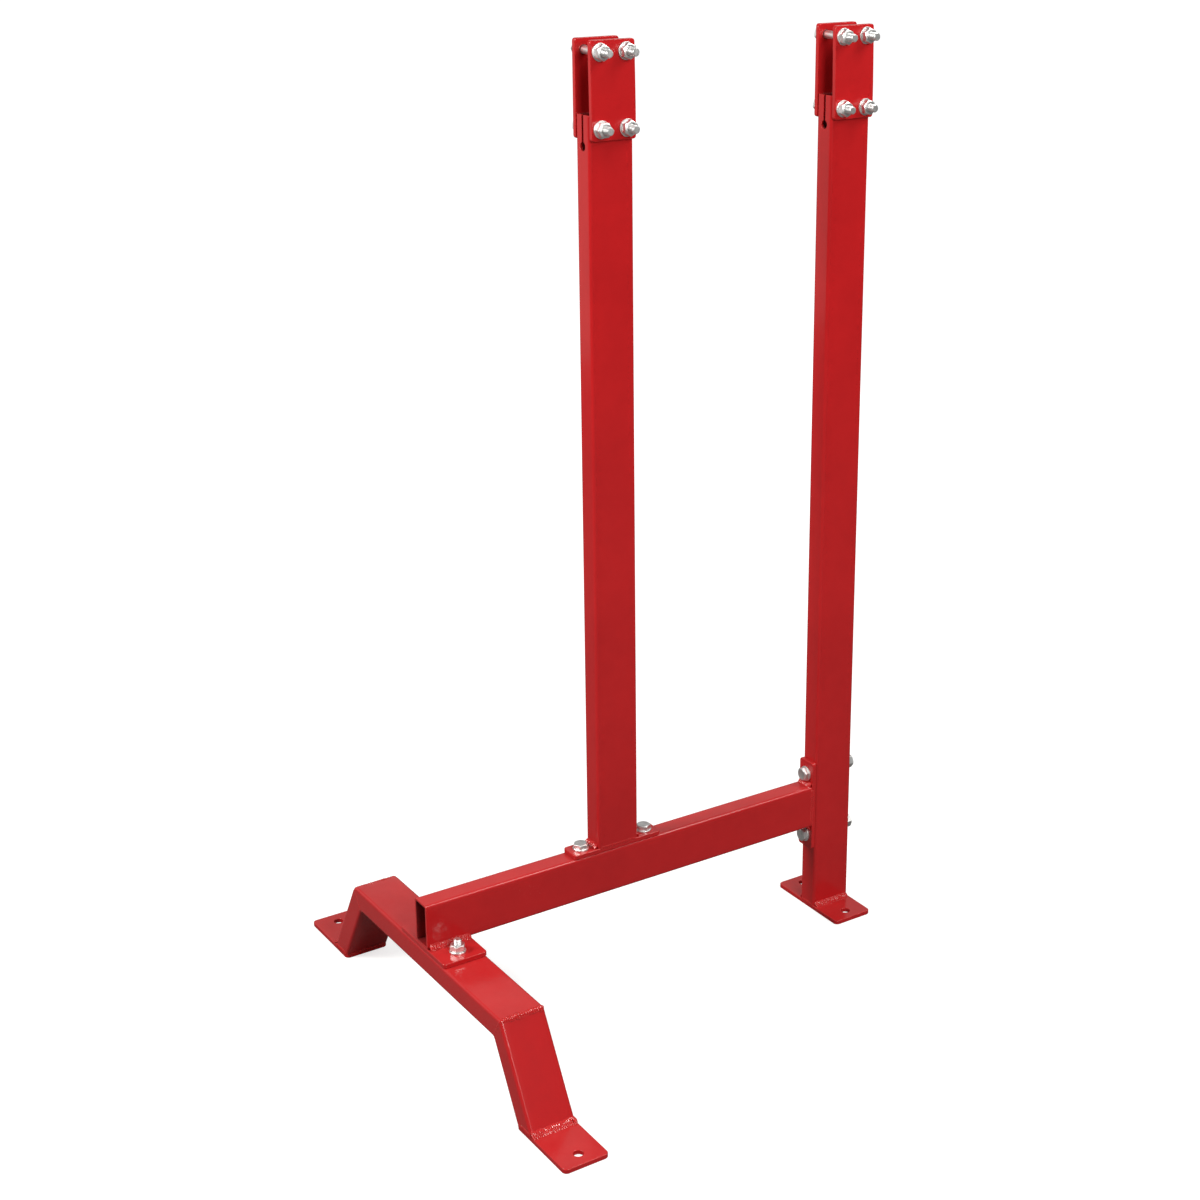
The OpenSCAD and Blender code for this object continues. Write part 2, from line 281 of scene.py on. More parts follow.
def makeFilmOfDust():
    # a film that lies on faces that look up and not on those that look down
    tree, entry, leave = newGroup("filmOfDust", dict(Scale=30.0), ["Mask"])
    place = ownPlace(tree, -900, 200)
    facing = addNode(tree, "NewGeometry", -900, -100).outputs["Normal"]
    up = addNode(tree, "SeparateXYZ", -650, -100, {0: facing}).outputs["Z"]
    lying = rangeNode(tree, -400, -100, up, 0.55, 1.0)
    cloud = addNode(tree, "TexNoise", -650, 200, {
        "Vector": place, "Scale": entry.outputs["Scale"], "Detail": 5.0, "Roughness": 0.65})
    uneven = rangeNode(tree, -400, 200, cloud.outputs["Fac"], 0.3, 0.75, 0.3, 1.0)
    tree.links.new(mathNode(tree, "MULTIPLY", 0, 0, lying, uneven), leave.inputs["Mask"])
    return tree


def makeMetalGrain():
    # bright plating over drawn or pressed steel: fine crossing grain and slow cloudy patches
    tree, entry, leave = newGroup("metalGrain", dict(Grain=2600.0, Clouds=190.0), ["Height", "Cloud"])
    place = ownPlace(tree, -900, 200)
    grain = addNode(tree, "TexNoise", -500, 200, {
        "Vector": place, "Scale": entry.outputs["Grain"], "Detail": 3.0, "Roughness": 0.7})
    cloud = addNode(tree, "TexNoise", -500, -100, {
        "Vector": place, "Scale": entry.outputs["Clouds"], "Detail": 3.0, "Distortion": 0.6})
    tree.links.new(grain.outputs["Fac"], leave.inputs["Height"])
    tree.links.new(rangeNode(tree, 0, -100, cloud.outputs["Fac"], 0.32, 0.68), leave.inputs["Cloud"])
    return tree


orangePeel = makeOrangePeel()
thinEdgeAndSheen = makeThinEdgeAndSheen()
toneDrift = makeToneDrift()
nibs = makeNibs()
rubMarks = makeRubMarks()
filmOfDust = makeFilmOfDust()
metalGrain = makeMetalGrain()
print("shader groups made")


def newMaterial(name):
    material = bpy.data.materials.new(name)
    material.use_nodes = True
    tree = material.node_tree
    return material, tree, tree.nodes["Principled BSDF"]


redCoat = dict(
    # thin is the paler coat at the edges, lightened further as a painted highlight along them
    full=(0.475, 0.012, 0.014, 1), deep=(0.415, 0.010, 0.012, 1), thin=(0.66, 0.10, 0.085, 1),
    # bore is the inside of the tubes, painted dark as the shade in the hollow
    rub=(0.66, 0.20, 0.18, 1), dust=(0.60, 0.24, 0.22, 1), bore=(0.10, 0.003, 0.004, 1),
    roughness=0.18, roughSpread=0.05, specular=0.36, coat=0.16, coatRoughness=0.06,
    peelHeight=0.018 * mm, edgeRadius=1.1 * mm, thinAndSheenShare=0.6, nibHeight=18, rubShare=0.16,
    rubRoughness=0.18, dustShare=0.06)


def makePowderCoat(name, peel, gloss, nibShare):
    # red stoved powder: drifting tone, thin and paler at the edges with a painted highlight there, a few
    # nibs and rubs, a breath of dust on top
    look = redCoat
    material, tree, shader = newMaterial(name)
    drift = useGroup(tree, toneDrift, -1500, 400).outputs["Value"]
    edge = useGroup(tree, thinEdgeAndSheen, -1500, 150, Radius=look["edgeRadius"]).outputs["Mask"]
    rub = useGroup(tree, rubMarks, -1500, -50).outputs["Mask"]
    dust = useGroup(tree, filmOfDust, -1500, -250).outputs["Mask"]
    nib = useGroup(tree, nibs, -1500, -450, Share=nibShare).outputs["Mask"]
    skin = useGroup(tree, orangePeel, -1500, -650).outputs["Height"]

    colour = mixColours(tree, -1000, 500, drift, look["deep"], look["full"])
    # paler thin coat and a painted highlight along the edges
    thinAndSheenPart = mathNode(tree, "MULTIPLY", -1200, 250, edge, look["thinAndSheenShare"])
    colour = mixColours(tree, -800, 450, thinAndSheenPart, colour, look["thin"])
    rubPart = mathNode(tree, "MULTIPLY", -1200, 50, rub, look["rubShare"])
    colour = mixColours(tree, -600, 400, rubPart, colour, look["rub"])
    dustPart = mathNode(tree, "MULTIPLY", -1200, -150, dust, look["dustShare"])
    colour = mixColours(tree, -400, 350, dustPart, colour, look["dust"])
    tree.links.new(colour, shader.inputs["Base Color"])

    calm = rangeNode(tree, -900, 0, drift, 0.0, 1.0, gloss + look["roughSpread"], gloss)
    rough = mathNode(tree, "MULTIPLY_ADD", -600, 0, rub, look["rubRoughness"])
    tree.links.new(calm, rough.node.inputs[2])
    tree.links.new(rough, shader.inputs["Roughness"])

    raised = mathNode(tree, "MULTIPLY", -1000, -450, nib, look["nibHeight"])
    height = mathNode(tree, "ADD", -800, -550, skin, raised)
    bump = addNode(tree, "Bump", -500, -500, {
        "Strength": 1.0, "Distance": look["peelHeight"] * peel, "Height": height})
    tree.links.new(bump.outputs[0], shader.inputs["Normal"])
    shader.inputs["Specular IOR Level"].default_value = look["specular"]
    shader.inputs["Coat Weight"].default_value = look["coat"]
    shader.inputs["Coat Roughness"].default_value = look["coatRoughness"]
    return material


boreShadeCoat = dict(driftScale=18.0, grit=900.0, gritHeight=0.04 * mm, rough=0.62, smooth=0.45)


def makeBoreShadeCoat():
    # inside the tubes a thin, dry overspray, coloured dark as painted shade for the hollow
    look = boreShadeCoat
    material, tree, shader = newMaterial("redBoreShadeCoat")
    drift = useGroup(tree, toneDrift, -900, 200, Scale=look["driftScale"]).outputs["Value"]
    grit = useGroup(tree, orangePeel, -900, -200, Pimples=look["grit"]).outputs["Height"]
    # painted shade: the inside drifts between a very dark red and the deep coat
    colour = mixColours(tree, -500, 200, drift, redCoat["bore"], redCoat["deep"])
    tree.links.new(colour, shader.inputs["Base Color"])
    rough = rangeNode(tree, -500, 0, drift, 0.0, 1.0, look["rough"], look["smooth"])
    tree.links.new(rough, shader.inputs["Roughness"])
    bump = addNode(tree, "Bump", -500, -200, {"Distance": look["gritHeight"], "Height": grit})
    tree.links.new(bump.outputs[0], shader.inputs["Normal"])
    return material


zincCoat = dict(
    light=(0.94, 0.94, 0.94, 1), cloudy=(0.76, 0.77, 0.77, 1), worn=(0.93, 0.93, 0.93, 1),
    shade=(0.30, 0.30, 0.30, 1), grainHeight=0.006 * mm, edgeRadius=0.5 * mm, cloudRough=0.14)


def makeZinc(name, clouds, polish, tint):
    # bright zinc: cloudy passivation, rubbed clean at the edges, over a fine grain
    look = zincCoat
    material, tree, shader = newMaterial(name)
    grain = useGroup(tree, metalGrain, -1200, 0, Clouds=clouds)
    edge = useGroup(tree, thinEdgeAndSheen, -1200, 300, Radius=look["edgeRadius"], Breakup=0.3).outputs["Mask"]
    colour = mixColours(tree, -800, 200, grain.outputs["Cloud"], look["cloudy"], look["light"])
    colour = mixColours(tree, -600, 250, edge, colour, look["worn"])
    tinted = mixColours(tree, -400, 250, 1.0 - tint, colour, look["shade"])
    tree.links.new(tinted, shader.inputs["Base Color"])
    rough = rangeNode(tree, -600, -50, grain.outputs["Cloud"], 0.0, 1.0, polish + look["cloudRough"], polish)
    tree.links.new(rough, shader.inputs["Roughness"])
    bump = addNode(tree, "Bump", -600, -250, {
        "Distance": look["grainHeight"], "Height": grain.outputs["Height"]})
    tree.links.new(bump.outputs[0], shader.inputs["Normal"])
    shader.inputs["Metallic"].default_value = 1.0
    return material


tubeRed = makePowderCoat("redTubeCoat", 1.0, redCoat["roughness"], 0.10)
plateRed = makePowderCoat("redPlateCoat", 1.2, redCoat["roughness"] - 0.03, 0.14)
weldRed = makePowderCoat("redWeldCoat", 0.4, redCoat["roughness"] - 0.10, 0.05)
boreShadeRed = makeBoreShadeCoat()
zincHex = makeZinc("zincPressedHex", 190.0, 0.32, 1.0)
zincShank = makeZinc("zincRolledShank", 420.0, 0.34, 1.0)
zincWasher = makeZinc("zincPunchedWasher", 120.0, 0.36, 0.97)
print("finishes made")


boxSection = dict(wall=3 * mm, corner=4 * mm, turnSteps=8, flatSteps=3, sideSteps=4, ease=0.6 * mm)


def halfOutline(a, b, r):
    # right half of a rounded rectangle, from the middle of its low side to the middle of its high side:
    # a straight run, a quarter turn, the long side, a quarter turn and a straight run back
    look = boxSection
    run = np.linspace(0, a / 2 - r, look["flatSteps"] + 1)
    turn = np.linspace(-pi / 2, 0, look["turnSteps"] + 1)
    low = np.column_stack([run, np.full_like(run, -b / 2)])
    bend = np.column_stack([a / 2 - r + r * np.cos(turn), r - b / 2 + r * np.sin(turn)])
    reach = np.linspace(r - b / 2, 0, look["sideSteps"] + 1)
    side = np.column_stack([np.full_like(reach, a / 2), reach])
    lower = np.vstack([low, bend[1:], side[1:]])
    return np.vstack([lower, lower[-2::-1] * (1, -1)])


def boxTube(a, b, levels):
    # A tube along Z, a across X and b across Y, as two half shells that meet in the middle of the
    # narrow faces. levels holds one row (z, slope, gap) for each ring: the point of the outline at
    # (x, y) lies at height z + slope x, and where the gap is open the straight run starts at x = gap.
    look = boxSection
    r, wall = look["corner"], look["wall"]
    flat = a / 2 - r
    z, slope, gap = [np.array(c)[:, None] for c in zip(*levels)]
    skins = []
    for inset in (0, wall):
        outline = halfOutline(a - 2 * inset, b - 2 * inset, r - inset)
        across = outline[:, 0]
        x = np.where(across <= flat + mm / 100, gap + across * (1 - gap / flat), across)
        y = np.broadcast_to(outline[:, 1], x.shape)
        skins.append((x, y))
    patches = []
    for hand in (1, -1):
        outer, inner = [np.stack([hand * x, y, z + slope * hand * x], -1) for x, y in skins]
        patches += [patch(outer), patch(inner, paint=1)]
        patches += [patch(np.stack([outer[end], inner[end]])) for end in (0, -1)]
        opened = np.flatnonzero(gap[:, 0] > 0)
        if len(opened):
            rows = slice(opened[0] - 1, None)
            patches += [patch(np.stack([outer[rows, side], inner[rows, side]])) for side in (0, -1)]
    return patches


keyhole = dict(slotHalf=2 * mm, holeRadius=5.5 * mm, depth=36.5 * mm, steps=16, slotSteps=6)


def postLevels(low, top):
    # rings of a post: plain up to the keyhole, round its hole by equal angles, then up the slot
    look = keyhole
    r, centre = look["holeRadius"], top - look["depth"]
    angle = np.linspace(0, pi - np.arcsin(look["slotHalf"] / r), look["steps"] + 1)
    hole = [(centre - r * cos(t), 0.0, r * sin(t)) for t in angle]
    slot = [(z, 0.0, look["slotHalf"]) for z in np.linspace(hole[-1][0], top, look["slotSteps"] + 1)[1:]]
    plain = [(z, 0.0, 0.0) for z in np.linspace(low, hole[0][0], 10)]
    return plain + hole[1:] + slot


# the second finish is for the inside faces, painted dark as their shade
tubePaints = [tubeRed, boreShadeRed]
for name in ("front_post_tube", "rear_post_tube"):
    low, high = corners(name)
    size, middle = high - low, (low + high) / 2
    shell = boxTube(size[0], size[1], postLevels(0, size[2]))
    shell = placed(shell, (middle[0], middle[1], low[2]), (1, 0, 0), (0, 1, 0))
    makePiece(name.split("_")[0] + "PostTube", name, shell, tubePaints, boxSection["ease"])

low, high = corners("tie_bar_tube")
size, middle = high - low, (low + high) / 2
tieLevels = [(z, 0.0, 0.0) for z in np.linspace(0, size[1], 9)]
shell = placed(boxTube(size[0], size[2], tieLevels), (middle[0], low[1], middle[2]), (-1, 0, 0), (0, 0, 1))
makePiece("tieBarTube", "tie_bar_tube", shell, tubePaints, boxSection["ease"])
print("posts and tie bar made")


legLean = 30
barLow, barHigh = corners("crossbar_tube")
barSize, barMiddle = barHigh - barLow, (barLow + barHigh) / 2
mitreSlope = tan(radians((90 - legLean) / 2))
barHalf = barSize[0] / 2 - mitreSlope * barSize[2] / 2    # half length along the middle of the bar
mitreLook = dict(filed=(0.4 * mm, 2.6 * mm), reach=(5 * mm, 12 * mm),
                 rings=np.array((0.0, 1.2, 2.5, 4.0, 6.0, 8.5)) * mm)


def filedMitre(patches, hand):
    # the mitre's outer edge filed round: points within reach go down the cut by filed (1 - off / reach)^2
    look, rake = mitreLook, radians((90 - legLean) / 2)
    for p in patches:
        x, z = p["points"][:, 0], p["points"][:, 2]
        off = np.hypot(x - hand * barHigh[0], z - barHigh[2])
        down = look["filed"][hand < 0] * np.clip(1 - off / look["reach"][hand < 0], 0, 1) ** 2
        p["points"] = p["points"] - down[:, None] * (hand * sin(rake), 0, cos(rake))
    return patches


barShares = 1 - mitreLook["rings"] / barHalf
barShares = np.unique(np.concatenate([np.linspace(-0.75, 0.75, 7), barShares, -barShares]))
barLevels = [(barHalf * t, mitreSlope * t, 0.0) for t in barShares]
shell = placed(boxTube(barSize[2], barSize[1], barLevels), barMiddle, (0, 0, 1), (0, -1, 0))
shell = filedMitre(filedMitre(shell, 1), -1)
makePiece("crossbarTube", "crossbar_tube", shell, tubePaints, boxSection["ease"])

leanSin, leanCos = sin(radians(legLean)), cos(radians(legLean))
plateTop = corners("right_foot_plate")[1][2]
tubeHalf = barSize[2] / 2
for hand, side in ((-1, "left"), (1, "right")):
    outward = np.array([hand * leanCos, 0, leanSin])
    upward = np.array([-hand * leanSin, 0, leanCos])
    corner = np.array([hand * barHigh[0], barMiddle[1], barHigh[2]])
    drop = (barHigh[2] - plateTop + tubeHalf * -leanSin) / leanCos
    shares = np.concatenate([np.linspace(0, 0.75, 4), 1 - mitreLook["rings"][::-1] / drop])
    legLevels = [(-drop * (1 - t) - mitreSlope * tubeHalf * t,
                  mitreSlope * t - tan(radians(legLean)) * (1 - t), 0.0) for t in shares]
    shell = boxTube(barSize[2], barSize[1], legLevels)
    shell = placed(shell, corner - outward * tubeHalf, outward, np.cross(upward, outward))
    shell = filedMitre(shell, hand)
    makePiece(side + "LegTube", side + "_leg_tube", shell, tubePaints, boxSection["ease"])
print("front foot tubes made")


plateLook = dict(sideSteps=16, turnSteps=6, rings=(0.0, 0.12, 0.5, 1.0), ease=0.9 * mm)


def cellOutline(x0, x1, y0, y1, radii):
    # round a rectangle anticlockwise from its right low corner: a quarter turn at each corner, whose
    # radius is nought where the cell meets its neighbour, and even steps along each side
    look = plateLook
    middles = ((x1, y0, -90), (x1, y1, 0), (x0, y1, 90), (x0, y0, 180))
    turns = []
    for (x, y, start), r in zip(middles, radii):
        angle = np.radians(np.linspace(start, start + 90, look["turnSteps"] + 1 if r else 1))
        inward = (np.sign((x0 + x1) / 2 - x) * r, np.sign((y0 + y1) / 2 - y) * r)
        arc = np.column_stack([np.cos(angle), np.sin(angle)]) * r
        turns.append(arc + (x + inward[0], y + inward[1]))
    loop = []
    for here, after in zip(turns, turns[1:] + turns[:1]):
        share = np.linspace(0, 1, look["sideSteps"] + 1)[1:-1, None]
        loop += [here, here[-1] * (1 - share) + after[0] * share]
    return np.vstack(loop)


def drilledPlate(length, width, thick, corner, holesX, holesY, holeRadius):
    # A plate on the XY plane, cut into one cell for each hole. The faces of a cell are rings that go
    # from the hole's circle to the cell's outline, point by point along the line between the two.
    bordersX = [-length / 2] + [(p + q) / 2 for p, q in zip(holesX, holesX[1:])] + [length / 2]
    bordersY = [-width / 2] + [(p + q) / 2 for p, q in zip(holesY, holesY[1:])] + [width / 2]
    patches = []
    for i, holeX in enumerate(holesX):
        for j, holeY in enumerate(holesY):
            x0, x1, y0, y1 = bordersX[i], bordersX[i + 1], bordersY[j], bordersY[j + 1]
            ends = [(x, y) for x, y in ((x1, y0), (x1, y1), (x0, y1), (x0, y0))]
            radii = [corner if abs(x) == length / 2 and abs(y) == width / 2 else 0 for x, y in ends]
            edge = cellOutline(x0, x1, y0, y1, radii)
            angle = np.arctan2(edge[:, 1] - holeY, edge[:, 0] - holeX)
            circle = np.column_stack([np.cos(angle), np.sin(angle)]) * holeRadius + (holeX, holeY)
            share = np.array(plateLook["rings"])[:, None, None]
            flat = circle * (1 - share) + edge * share
            level = np.zeros(flat.shape[:2] + (1,))
            top, bottom = np.concatenate([flat, level + thick], -1), np.concatenate([flat, level], -1)
            after = np.roll(edge, -1, 0)
            inner = np.zeros(len(edge), bool)
            for axis, border, whole in ((0, x0, length), (0, x1, length), (1, y0, width), (1, y1, width)):
                if abs(abs(border) - whole / 2) > mm / 1000:
                    here = abs(edge[:, axis] - border) < mm / 1000
                    inner |= here & (abs(after[:, axis] - border) < mm / 1000)
            patches += [patch(top, wrapColumns=True), patch(bottom, wrapColumns=True)]
            patches += [patch(np.stack([top[0], bottom[0]]), wrapColumns=True)]
            patches += [patch(np.stack([top[-1], bottom[-1]]), wrapColumns=True, keep=~inner)]
    return patches


plates = dict(
    footCorner=6 * mm, flangeCorner=4 * mm, cheekCorner=3.5 * mm, floorHole=6 * mm, boltHole=5.5 * mm,
    footHoleIn=20 * mm, rearHole=49 * mm, crossHole=37 * mm, tieHole=46 * mm, postHole=47.5 * mm,
    cheekRow=43.5 * mm, cheekColumn=17.5 * mm, pinch=2.2 * mm, pinchPower=1.3)


def pinchAt(z):
    # how far a cheek has been drawn in at height z, from nothing at the post's top to most at its own top
    postTop, cheekTop = corners("front_post_tube")[1][2], corners("front_head_right_cheek")[1][2]
    return plates["pinch"] * np.clip((z - postTop) / (cheekTop - postTop), 0, 1) ** plates["pinchPower"]


def lyingPlate(name, node, along, across, corner, holesX, holesY, holeRadius, pinched=False):
    # a drilled plate in the box of its node; along and across are the world axes of its length and width
    low, high = corners(node)
    along, across = np.array(along, float), np.array(across, float)
    up = np.cross(along, across)
    size = high - low
    origin = (low + high) / 2 - up * abs(size @ up) / 2    # middle of its lower face
    length, width, thick = [abs(size @ axis) for axis in (along, across, up)]
    flat = drilledPlate(length, width, thick, corner, holesX, holesY, holeRadius)
    shape = placed(flat, origin, along, across)
    if pinched:
        for p in shape:
            p["points"][:, 0] -= pinchAt(p["points"][:, 2])
    makePiece(name, node, shape, [plateRed], plateLook["ease"])


footLength = np.ptp(np.array(corners("right_foot_plate"))[:, 0])
footHole = [footLength / 2 - plates["footHoleIn"]]
lyingPlate("rightFootPlate", "right_foot_plate", (1, 0, 0), (0, 1, 0),
           plates["footCorner"], footHole, [0], plates["floorHole"])
lyingPlate("leftFootPlate", "left_foot_plate", (-1, 0, 0), (0, -1, 0),
           plates["footCorner"], footHole, [0], plates["floorHole"])
lyingPlate("rearFloorPlate", "rear_floor_plate", (1, 0, 0), (0, 1, 0),
           plates["footCorner"], [-plates["rearHole"], plates["rearHole"]], [0], plates["floorHole"])
lyingPlate("tieBarFrontFlange", "tie_bar_front_flange", (1, 0, 0), (0, 1, 0),
           plates["flangeCorner"], [-plates["crossHole"], plates["crossHole"]], [0], plates["boltHole"])
lyingPlate("tieBarRearFlange", "tie_bar_rear_flange", (0, 0, 1), (1, 0, 0),
           plates["flangeCorner"], [-plates["tieHole"], plates["tieHole"]], [0], plates["boltHole"])
lyingPlate("frontPostFlange", "front_post_flange", (0, 1, 0), (-1, 0, 0),
           plates["flangeCorner"], [-plates["postHole"], plates["postHole"]], [0], plates["boltHole"])
cheekRows = [-plates["cheekRow"], plates["cheekRow"]]
cheekColumns = [-plates["cheekColumn"], plates["cheekColumn"]]
for end in ("front", "rear"):
    for side in ("left", "right"):
        lyingPlate(end + "Head" + side.title() + "Cheek", end + "_head_" + side + "_cheek",
                   (0, 0, 1), (0, 1, 0), plates["cheekCorner"], cheekRows, cheekColumns,
                   plates["boltHole"], pinched=side == "right")
print("plates made")


hexLook = dict(flats=17 * mm, headHeight=6.4 * mm, nutHeight=8.4 * mm, crownShare=0.90, crownTilt=30,
               dish=0.45 * mm, dishShare=0.62, rimShare=0.78, around=36, ease=0.28 * mm)
threadLook = dict(radius=5 * mm, root=4.12 * mm, pitch=1.5 * mm, length=26 * mm, perTurn=6, flank=1.5,
                  tip=1.1 * mm, bore=4.5 * mm, sink=0.9 * mm, leastPlain=2 * mm)
washerLook = dict(radius=10.5 * mm, bore=5.25 * mm, thick=2 * mm, around=48, ease=0.4 * mm)


def turned(profile, angle):
    # a profile of rings turned about Z: each ring is (radius, height), a number or one value per angle
    rings = [np.stack([r * np.cos(angle), r * np.sin(angle), h + 0 * angle], -1) for r, h in profile]
    return np.stack(rings)


def hexShape(angle):
    # distance to the side of a hexagon in each direction, and how far its crown has dropped there
    look = hexLook
    sixth = pi / 3
    reach = look["flats"] / 2 / np.cos(np.mod(angle, sixth) - sixth / 2)
    crown = look["flats"] / 2 * look["crownShare"]
    return reach, crown, (reach - crown) * tan(radians(look["crownTilt"]))


def hexBolt(length, threaded):
    # head on the XY plane, shank down -Z: the crown is a cone that cuts the hexagon, and the thread's
    # radius follows a wave of one pitch that climbs with the angle, held inside the cone of the tip
    look, cut = hexLook, threadLook
    angle = np.arange(look["around"]) * 2 * pi / look["around"]
    reach, crown, fall = hexShape(angle)
    top = look["headHeight"]
    low = top - look["dish"]
    head = turned([(0.0, low), (crown * look["dishShare"], low), (crown * look["rimShare"], top),
                   (crown, top), (reach, top - fall), (reach, 0.0), (cut["radius"], 0.0)], angle)
    plain = length - threaded
    along = np.concatenate([[0.0], np.linspace(0.02, 1, 6) * plain,
                            np.arange(plain, length, cut["pitch"] / cut["perTurn"])[1:], [length]])
    wave = np.cos(2 * pi * (along[:, None] / cut["pitch"] + angle / (2 * pi)))
    deep = 0.5 + 0.5 * np.clip(wave * cut["flank"], -1, 1)
    deep = np.clip((along[:, None] - plain) / cut["pitch"], 0, 1) * deep
    radius = cut["radius"] - (cut["radius"] - cut["root"]) * deep
    radius = np.minimum(radius, cut["radius"] - cut["tip"] + (length - along[:, None]))
    height = np.broadcast_to(-along[:, None], radius.shape)
    shank = np.stack([radius * np.cos(angle), radius * np.sin(angle), height], -1)
    end = np.stack([shank[-1], shank[-1] * (0, 0, 1)])
    return [patch(head, wrapColumns=True), patch(shank, wrapColumns=True, paint=1, eased=0),
            patch(end, wrapColumns=True, paint=1)]


def hexNut():
    # a nut standing on the XY plane: crowned at both faces, its bore sunk at both mouths
    look, cut = hexLook, threadLook
    angle = np.arange(look["around"]) * 2 * pi / look["around"]
    reach, crown, fall = hexShape(angle)
    top, bore, sink = look["nutHeight"], cut["bore"], cut["sink"]
    ring = turned([(bore, sink), (bore + sink, 0.0), (crown, 0.0), (reach, fall), (reach, top - fall),
                   (crown, top), (bore + sink, top), (bore, top - sink)], angle)
    return [patch(ring, wrapRows=True, wrapColumns=True)]


def flatWasher():
    # a washer standing on the XY plane: a rectangle turned about Z
    look = washerLook
    angle = np.arange(look["around"]) * 2 * pi / look["around"]
    ring = turned([(look["bore"], 0.0), (look["radius"], 0.0), (look["radius"], look["thick"]),
                   (look["bore"], look["thick"])], angle)
    return [patch(ring, wrapRows=True, wrapColumns=True)]


def upright(up, spin):
    # X and Y axes of a frame whose third axis is up, turned round it by spin
    up = np.array(up, float)
    first = np.cross(up, (0, 1, 0) if abs(up[1]) < 0.5 else (0, 0, 1))
    second = np.cross(up, first)
    return first * cos(spin) + second * sin(spin), second * cos(spin) - first * sin(spin)


def boltCentres(node, axis):
    # centre lines of a joint's bolts, from the box of its washers: one washer radius in from each side
    low, high = corners(node)
    r = washerLook["radius"]
    spots = [[0.0]] * 3
    for k in {0, 1, 2} - {axis}:
        wide = high[k] - low[k] > 2.5 * r
        spots[k] = [low[k] + r, high[k] - r] if wide else [(low[k] + high[k]) / 2]
    centres = [np.array((x, y, z)) for x in spots[0] for y in spots[1] for z in spots[2]]
    return centres, low[axis], high[axis]


def fastenJoint(joint, axis, headSide, nutNode, seed, headTurns=None, nutTurns=None, draw=0):
    # Bolts, nuts and washers of one joint. headSide is 1 or -1, the way the heads look along the axis;
    # the turns are the angles at which the hexagons stopped, and draw is how far the upper nuts have
    # pulled their plate in.
    rng = np.random.default_rng(seed)
    name = joint.split("_")[0] + joint.split("_")[1].title()
    washers = joint + "_washers"
    centres, low, high = boltCentres(washers, axis)
    line = np.eye(3)[axis]
    up = line * headSide
    middle = np.mean([centre[2] for centre in centres])
    seat, far = (high, low) if headSide > 0 else (low, high)
    boltLow, boltHigh = [c[axis] for c in corners(joint + "_bolts")]
    length = boltHigh - boltLow - hexLook["headHeight"]
    threaded = min(threadLook["length"], length - threadLook["leastPlain"])
    nutLow, nutHigh = [c[axis] for c in corners(nutNode)]
    bolts, nuts, rings = [], [], []
    for k, centre in enumerate(centres):
        spins = rng.uniform(0, pi / 3, 2)
        if headTurns:
            spins[0] = radians(headTurns[k])
        if nutTurns:
            spins[1] = radians(nutTurns[k])
        pulled = up * draw * (centre[2] > middle)
        bolts += placed(hexBolt(length, threaded), centre + line * seat, *upright(up, spins[0]))
        nutSeat = nutHigh if headSide > 0 else nutLow
        nuts += placed(hexNut(), centre + line * nutSeat + pulled, *upright(-up, spins[1]))
        rings += placed(flatWasher(), centre + line * seat, *upright(-up, 0))
        if high - low > 2 * washerLook["thick"]:
            rings += placed(flatWasher(), centre + line * far + pulled, *upright(up, 0))
    makePiece(name + "Bolts", joint + "_bolts", bolts, [zincHex, zincShank],
              hexLook["ease"])
    makePiece(name + "Nuts", nutNode, nuts, [zincHex], hexLook["ease"])
    makePiece(name + "Washers", washers, rings, [zincWasher], washerLook["ease"])


nutDraw = pinchAt(corners("front_head_washers")[1][2] - washerLook["radius"])
fastenJoint("front_head", 0, -1, "front_head_nuts", 11, draw=nutDraw)
fastenJoint("rear_head", 0, -1, "rear_head_nuts", 12, draw=nutDraw)
fastenJoint("crossbar_joint", 2, -1, "crossbar_joint_nuts", 13, nutTurns=(10, 25))
fastenJoint("post_joint", 2, 1, "post_joint_captive_nuts", 14, headTurns=(25, 55))
fastenJoint("tie_joint", 1, -1, "tie_joint_nuts", 15)
print("hardware made")


weldLook = dict(
    leg=5 * mm, fullness=0.25, overlap=1.04, sinkShare=0.8, footLeg=5.8 * mm, flangeLeg=6.2 * mm,
    seamWidth=1.9 * mm, seamBulge=0.45 * mm, seamDepth=0.8 * mm, endShare=0.9, crest=0.3,
    pitch=3.2 * mm, perRipple=10, around=20, lag=0.42, drift=0.35, sharpness=0.7,
    widthSwing=0.14, widthSwell=0.35, widthRipple=0.10, bulgeSwing=0.3, bulgeLow=0.25, bulgeRipple=0.75,
    spatter=0.4, spatterWaves=9, spatterReach=4, lumpReach=0.8, inset=2 * mm)


